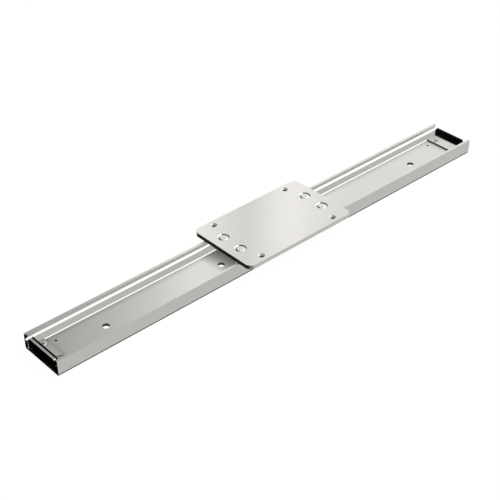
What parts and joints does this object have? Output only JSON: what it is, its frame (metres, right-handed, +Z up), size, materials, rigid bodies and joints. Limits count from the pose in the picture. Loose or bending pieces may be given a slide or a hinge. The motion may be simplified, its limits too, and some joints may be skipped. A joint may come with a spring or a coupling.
{
  "type": "linear guide rail",
  "caption": "Low steel channel rail with end stops and a ball-guided plate that slides along it, for carrying a load on a straight, flat path.",
  "frame": {"origin": "middle of the rail's underside", "axes": "+X along the rail, +Z up out of the slide plate"},
  "size_m": [0.4, 0.06, 0.0154],
  "materials": {
    "rail_steel": "bright drawn steel, plated, satin",
    "stop_steel": "bright bent sheet steel, plated, satin",
    "plate_steel": "bright sheet steel, plated, fine satin",
    "channel_steel": "bright roll-formed steel, satin",
    "rivet_steel": "bright set steel, satin",
    "ball_steel": "polished hardened bearing steel",
    "guide_resin": "natural white moulded resin, matt",
    "bumper_rubber": "black moulded rubber, matt"
  },
  "bodies": {
    "rail_body": {"rail": "rail_steel", "stop_bracket_left": "stop_steel", "stop_bracket_right": "stop_steel", "bumper_left": "bumper_rubber", "bumper_right": "bumper_rubber", "foot_rivet_1": "rivet_steel", "foot_rivet_2": "rivet_steel", "foot_rivet_3": "rivet_steel", "foot_rivet_4": "rivet_steel"},
    "slider_body": {"slide_plate": "plate_steel", "slide_channel": "channel_steel", "plate_rivet_1": "rivet_steel", "plate_rivet_2": "rivet_steel", "plate_rivet_3": "rivet_steel", "plate_rivet_4": "rivet_steel", "ball_guide_left": "guide_resin", "ball_guide_right": "guide_resin", "ball_row_left": "ball_steel", "ball_row_right": "ball_steel"}
  },
  "joints": [
    {"name": "plate_slide", "type": "slide", "parent": "rail_body", "child": "slider_body", "axis": [1, 0, 0], "range_m": [-0.1512, 0.1512]}
  ]
}
